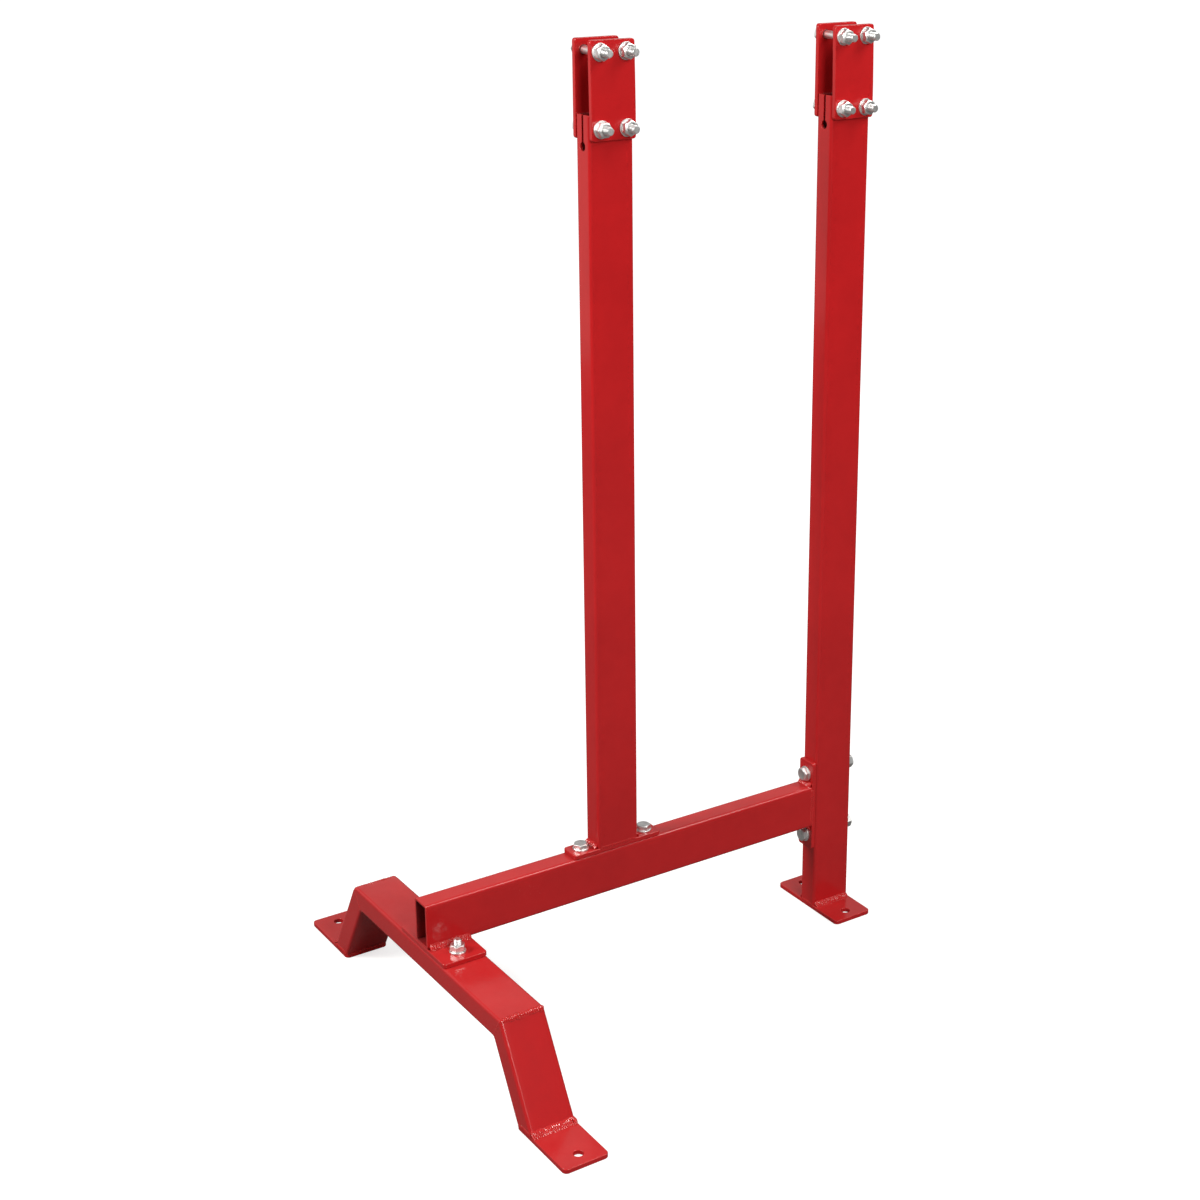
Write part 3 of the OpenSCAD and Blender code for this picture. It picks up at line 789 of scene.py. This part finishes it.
def weldRun(path, side, out, width, bulge, depth, seed, closed=False, lumps=(), fold=0.0):
    # One run of weld. Its section is a closed oval that reaches width either way along side, bulge
    # outwards and depth inwards. The outer half carries crescents, one per pitch, that lag behind at
    # the toes; width and bulge wander slowly, and an open run narrows to a point at both ends.
    # lumps are (place, size) pairs, where the arc was started or stopped. fold is the slope at which the
    # faces fall away on both sides: the toes go down with them, over a rounded crest.
    look, crest = weldLook, weldLook["crest"]
    width, bulge = np.broadcast_to(width, len(path)), np.broadcast_to(bulge, len(path))
    step = np.linalg.norm(np.diff(path, axis=0), axis=1)
    s = np.concatenate([[0], np.cumsum(step)])
    length = s[-1] + (np.linalg.norm(path[0] - path[-1]) if closed else 0)
    angle = np.arange(look["around"]) * 2 * pi / look["around"]
    ripples = round(length / look["pitch"])
    if closed:
        swing = wander(s, seed, longest=length) * np.sin(pi * s / length)
        taper = np.ones_like(s)
    else:
        swing = wander(s, seed, longest=length)
        taper = np.sqrt(1 - np.clip(1 - np.minimum(s, length - s) / (look["endShare"] * width), 0, 1) ** 2)
    swell = 0 * s
    for place, size in lumps:
        swell = swell + size * np.exp(-((s - place * length) / (look["lumpReach"] * look["leg"])) ** 2)
    phase = (s / length * ripples + look["drift"] * swing)[:, None] - look["lag"] * np.cos(angle) ** 2
    crescent = (0.5 + 0.5 * np.cos(2 * pi * phase)) ** look["sharpness"]
    spatter = wander(s, seed + 100, waves=look["spatterWaves"], longest=look["spatterReach"] * look["pitch"])
    spatter = spatter[:, None] * np.cos(angle + s[:, None] / look["leg"])
    half = (width * (1 + look["widthSwing"] * swing + look["widthSwell"] * swell) * taper)[:, None]
    half = half * (1 + look["widthRipple"] * crescent + look["widthRipple"] * spatter)
    rise = (bulge * (1 + look["bulgeSwing"] * swing + swell) * taper)[:, None]
    rise = rise * (look["bulgeLow"] + look["bulgeRipple"] * crescent + look["spatter"] * spatter)
    outer = np.sin(angle) > 0
    rise = np.where(outer, rise * np.sin(angle) ** 2, depth * taper[:, None] * np.sin(angle))
    off = np.abs(np.cos(angle))
    rise = rise - (fold * width * taper)[:, None] * off * (1 + crest) * off / (off + crest)
    side, out = [np.broadcast_to(v, path.shape)[:, None, :] for v in (side, out)]
    points = path[:, None, :] + half[..., None] * np.cos(angle)[:, None] * side + rise[..., None] * out
    return patch(points, wrapRows=closed, wrapColumns=True, eased=0)


def straightPath(start, end):
    # even points from start to end, perRipple of them to each pitch
    count = int(np.linalg.norm(end - start) / weldLook["pitch"] * weldLook["perRipple"])
    share = np.linspace(0, 1, count)[:, None]
    return start * (1 - share) + end * share


def filletRun(start, end, first, second, seed, lumps=(), leg=None):
    # a run in the corner of two faces, first and second being the ways the faces lead off from it
    leg = leg or weldLook["leg"]
    start, end, first, second = [np.array(v, float) for v in (start, end, first, second)]
    path = straightPath(start, end) + (first + second) * leg / 2
    side, out = first - second, first + second
    half, back = np.linalg.norm(side) * leg / 2, np.linalg.norm(out) * leg / 2
    side, out = side / np.linalg.norm(side), out / np.linalg.norm(out)
    look = weldLook
    return weldRun(path, side, out, half * look["overlap"], leg * look["fullness"], back * look["sinkShare"],
                   seed, lumps=lumps)


def seamRun(start, end, side, out, seed, width=1.0, bulge=1.0):
    # a run dressed almost flush with the faces on both sides of it
    start, end, side, out = [np.array(v, float) for v in (start, end, side, out)]
    look = weldLook
    return weldRun(straightPath(start, end), side, out, look["seamWidth"] * width,
                   look["seamBulge"] * bulge, look["seamDepth"], seed)


mitreRunLook = dict(width=1.5 * mm, bulge=0.45 * mm, underWidth=1.6 * mm, underBulge=0.9 * mm)


def mitreRun(hand, seed, lumps, capWidth, capBulge):
    # Round the mitre: the tube's outline lies in the cut plane, stretched across it. The run is wider and
    # fuller by the cap values on the outer face and by the under values on the inner one.
    look = mitreRunLook
    half = halfOutline(barSize[2], barSize[1], boxSection["corner"])
    ring = np.vstack([half, half[-2:0:-1] * (-1, 1)])
    ring = np.roll(ring, -len(half) // 2, 0)
    step = np.linalg.norm(np.diff(np.vstack([ring, ring[:1]]), axis=0), axis=1)
    s = np.concatenate([[0], np.cumsum(step)])
    count = int(s[-1] / weldLook["pitch"] * weldLook["perRipple"])
    even = np.arange(count) * s[-1] / count
    loop = np.column_stack([np.interp(even, s, np.append(ring[:, k], ring[0, k])) for k in (0, 1)])
    ahead = np.roll(loop, -2, 0) - np.roll(loop, 2, 0)
    normal = np.column_stack([ahead[:, 1], -ahead[:, 0]])
    normal /= np.linalg.norm(normal, axis=1)[:, None]
    normal *= np.sign((normal * loop).sum(1))[:, None]
    rake = radians((90 - legLean) / 2)
    across = np.array([hand * sin(rake), 0, cos(rake)])     # up the cut, in its plane
    through = np.array([hand * cos(rake), 0, -sin(rake)])   # square to the cut
    middle = np.array([hand * barHalf, barMiddle[1], barMiddle[2]])
    path = middle + loop[:, :1] / cos(rake) * across + loop[:, 1:] * np.array([0, 1, 0])
    out = normal[:, :1] * across + normal[:, 1:] * np.array([0, 1, 0])
    top, under = np.clip(normal[:, 0], 0, 1) ** 2, np.clip(-normal[:, 0], 0, 1) ** 2
    width = look["width"] + capWidth * top + look["underWidth"] * under
    bulge = look["bulge"] + capBulge * top + look["underBulge"] * under
    run = weldRun(path, through, out, width, bulge, weldLook["seamDepth"], seed, closed=True, lumps=lumps,
                  fold=tan(rake) * normal[:, 0])
    return filedMitre([run], hand)


xAxis, yAxis, zAxis = np.eye(3)
tubeRound = boxSection["corner"]
inset = weldLook["inset"]


def weldPiece(name, node, runs):
    makePiece(name, node, runs, [weldRed], 0)


leftLumps = ((0.02, 0.3), (0.14, 0.3))
rightLumps = ((0.10, 0.9), (0.93, 1.0), (0.04, 0.6), (0.87, 0.6))
weldPiece("mitreWelds", "mitre_welds", mitreRun(-1, 21, leftLumps, 3.6 * mm, 0.0)
          + mitreRun(1, 22, rightLumps, 1.7 * mm, 0.45 * mm))

footWeld = dict(over=0.5 * mm, innerInset=3 * mm, innerWidth=1.2, innerBulge=1.6,
                sideInset=4 * mm, sideWidth=1.8, sideBulge=2.2)
runs = []
for hand, seed in ((-1, 31), (1, 35)):
    look = footWeld
    low, high = corners(("left" if hand < 0 else "right") + "_leg_tube")
    outerX = high[0] if hand > 0 else low[0]
    innerX = outerX - hand * barSize[2] / leanCos
    y0, y1 = low[1], high[1]
    toeOut, faceUp = np.array([hand, 0, 0]), np.array([-hand * leanSin, 0, leanCos])
    start, end = (outerX, y0 - look["over"], plateTop), (outerX, y1 + look["over"], plateTop)
    lumps = ((0.95, 0.7), (0.5, 0.25), (0.04, 0.6))
    runs.append(filletRun(start, end, toeOut, faceUp, seed, lumps, weldLook["footLeg"]))
    start, end = (innerX, y0 + look["innerInset"], plateTop), (innerX, y1 - look["innerInset"], plateTop)
    runs.append(seamRun(start, end, zAxis, -hand * xAxis, seed + 1, look["innerWidth"], look["innerBulge"]))
    for k, (y, out) in enumerate(((y0, -yAxis), (y1, yAxis))):
        start, end = innerX + hand * look["sideInset"], outerX - hand * look["sideInset"] / 4
        runs.append(seamRun((start, y, plateTop), (end, y, plateTop), zAxis, out, seed + 2 + k,
                            look["sideWidth"], look["sideBulge"]))
weldPiece("footPlateWelds", "foot_plate_welds", runs)

low, high = corners("tie_bar_tube")
flangeLow, flangeHigh = corners("tie_bar_front_flange")
runs = []
for hand in (-1, 1):
    x, z = hand * high[0], low[2]
    start, end = (x, flangeLow[1] + inset, z), (x, flangeHigh[1] - inset / 2, z)
    runs.append(filletRun(start, end, hand * xAxis, zAxis, 41 + hand, ((0.08, 0.6), (0.62, 0.3)),
                          weldLook["flangeLeg"]))
weldPiece("tieBarFrontWelds", "tie_bar_front_welds", runs)

runs = []
for hand, z in ((-1, low[2]), (1, high[2])):
    runs.append(filletRun((low[0] + tubeRound / 2, high[1], z), (high[0] - tubeRound / 2, high[1], z),
                          -yAxis, hand * zAxis, 45 + hand, lumps=((0.3, 0.5), (0.8, 0.4))))
    x, y = hand * high[0], high[1]
    start, end = (x, y, low[2] + tubeRound), (x, y, high[2] - tubeRound)
    runs.append(seamRun(start, end, yAxis, hand * xAxis, 48 + hand))
weldPiece("tieBarRearWelds", "tie_bar_rear_welds", runs)

low, high = corners("front_post_tube")
runs = []
for hand, y in ((-1, low[1]), (1, high[1])):
    runs.append(filletRun((low[0] + tubeRound / 2, y, low[2]), (high[0] - tubeRound / 2, y, low[2]),
                          hand * yAxis, zAxis, 52 + hand, lumps=((0.55, 0.7),)))
    x, z = hand * high[0], low[2]
    start, end = (x, low[1] + tubeRound, z), (x, high[1] - tubeRound, z)
    runs.append(seamRun(start, end, zAxis, hand * xAxis, 55 + hand))
weldPiece("frontPostWelds", "front_post_welds", runs)

low, high = corners("rear_post_tube")
runs = []
for hand in (-1, 1):
    x, z = hand * high[0], low[2]
    runs.append(filletRun((x, low[1] + inset, z), (x, high[1] - inset, z), hand * xAxis, zAxis, 62 + hand,
                          lumps=((0.1, 0.5), (0.7, 0.4))))
    y = high[1] if hand > 0 else low[1]
    runs.append(seamRun((low[0] + tubeRound, y, low[2]), (high[0] - tubeRound, y, low[2]),
                        zAxis, hand * yAxis, 65 + hand, width=1.3, bulge=1.5))
weldPiece("rearPostWelds", "rear_post_welds", runs)
print("weld runs made")


studio = dict(
    floorSize=60.0, floorColour=(0.50, 0.50, 0.50, 1), floorBounce=(0.11, 0.107, 0.105, 1),
    floorDrift=0.985, floorRough=0.75, glowNear=0.68, glowFar=1.0, glowFrom=0.6, glowTo=3.0,
    airColour=(1.0, 1.0, 1.0, 1), airStrength=0.18,
    target=(0.0, 0.0, 0.8), lampColour=(1.0, 0.98, 0.935),
    lamps=(("frontSoftbox", (-0.5, -2.4, 2.1), 0.9, 79.0), ("sideSoftbox", (2.8, -0.35, 2.0), 1.2, 68.0),
           ("edgeSoftbox", (1.0, 1.3, 2.6), 1.2, 36.0), ("backPanel", (-2.3, 1.6, 1.5), 3.2, 7.6),
           ("leftPanel", (-2.1, -1.35, 1.0), 1.6, 3.6), ("fill", (2.5, -1.9, 2.0), 0.5, 2.5)))


def makeFloor():
    # one large flat sheet, a grid of squares with a slow drift of tone, and a painted glow that only the
    # camera sees
    n, half = 9, studio["floorSize"] / 2
    across = np.linspace(-half, half, n)
    x, y = np.meshgrid(across, across)
    mesh = bpy.data.meshes.new("studioFloor")
    mesh.from_pydata(np.stack([x, y, 0 * x], -1).reshape(-1, 3).tolist(), [], gridFaces(n, n).tolist())
    floor = bpy.data.objects.new("studioFloor", mesh)
    bpy.context.scene.collection.objects.link(floor)
    material, tree, shader = newMaterial("paleFloor")
    drift = useGroup(tree, toneDrift, -600, 100, Scale=0.6, FineScale=4.0).outputs["Value"]
    darker = [c * studio["floorDrift"] for c in studio["floorColour"][:3]] + [1]
    seen = mixColours(tree, -300, 100, drift, darker, studio["floorColour"])
    direct = addNode(tree, "LightPath", -300, 400).outputs["Is Camera Ray"]
    # it throws back less than it shows, and glows to the camera alone: a painted light, paler the farther
    # off it lies
    base = mixColours(tree, -100, 200, direct, studio["floorBounce"], seen)
    tree.links.new(base, shader.inputs["Base Color"])
    place = ownPlace(tree, -900, -300)
    away = addNode(tree, "VectorMath", -600, -300, {0: place}, operation="LENGTH").outputs["Value"]
    glow = rangeNode(tree, -300, -300, away, studio["glowFrom"], studio["glowTo"],
                     studio["glowNear"], studio["glowFar"])
    tree.links.new(glow, shader.inputs["Emission Strength"])
    onlySeen = mixColours(tree, -100, 0, direct, (0, 0, 0, 1), (1, 1, 1, 1))
    tree.links.new(onlySeen, shader.inputs["Emission Color"])
    shader.inputs["Roughness"].default_value = studio["floorRough"]
    mesh.materials.append(material)


def addSoftbox(name, place, size, power):
    # a square lamp at place whose beam runs towards the studio's target
    lamp = bpy.data.lights.new(name, "AREA")
    lamp.shape, lamp.size, lamp.energy, lamp.color = "SQUARE", size, power, studio["lampColour"]
    stand = bpy.data.objects.new(name, lamp)
    stand.location = place
    stand.rotation_mode = "QUATERNION"
    stand.rotation_quaternion = (Vector(place) - Vector(studio["target"])).to_track_quat("Z", "Y")
    bpy.context.scene.collection.objects.link(stand)


makeFloor()
for name, place, size, power in studio["lamps"]:
    addSoftbox(name, place, size, power)
air = bpy.data.worlds.new("studioAir")
air.use_nodes = True
backdrop = air.node_tree.nodes["Background"]
backdrop.inputs["Color"].default_value = studio["airColour"]
seenAir = addNode(air.node_tree, "LightPath", -600, 0).outputs["Is Camera Ray"]    # white, but lights dimly
strength = rangeNode(air.node_tree, -300, 0, seenAir, 0.0, 1.0, studio["airStrength"], 1.0)
air.node_tree.links.new(strength, backdrop.inputs["Strength"])
bpy.context.scene.world = air
bpy.context.scene.view_settings.view_transform = "Standard"
print("studio made")


view = dict(place=(2.0788, -1.3368, 1.4543), azimuth=54.836, elevation=18.49, roll=0.506, lens=62.714,
            shiftX=-0.11, shiftY=-0.07)


def makeCamera():
    # looks from azimuth, measured from -Y towards +X, down at elevation, and leans over by roll
    az, el, roll = [radians(view[k]) for k in ("azimuth", "elevation", "roll")]
    right = np.array([cos(az), sin(az), 0])
    back = np.array([sin(az) * cos(el), -cos(az) * cos(el), sin(el)])
    up = np.cross(back, right)
    turnedRight = right * cos(roll) + up * sin(roll)
    turnedUp = up * cos(roll) - right * sin(roll)
    lens = bpy.data.cameras.new("camera")
    lens.sensor_width, lens.lens = 36, view["lens"]
    lens.shift_x, lens.shift_y = view["shiftX"], view["shiftY"]
    camera = bpy.data.objects.new("camera", lens)
    turn = Matrix(np.column_stack([turnedRight, turnedUp, back]).tolist()).to_4x4()
    turn.translation = view["place"]
    camera.matrix_world = turn
    bpy.context.scene.collection.objects.link(camera)
    bpy.context.scene.camera = camera


makeCamera()
print("camera made")
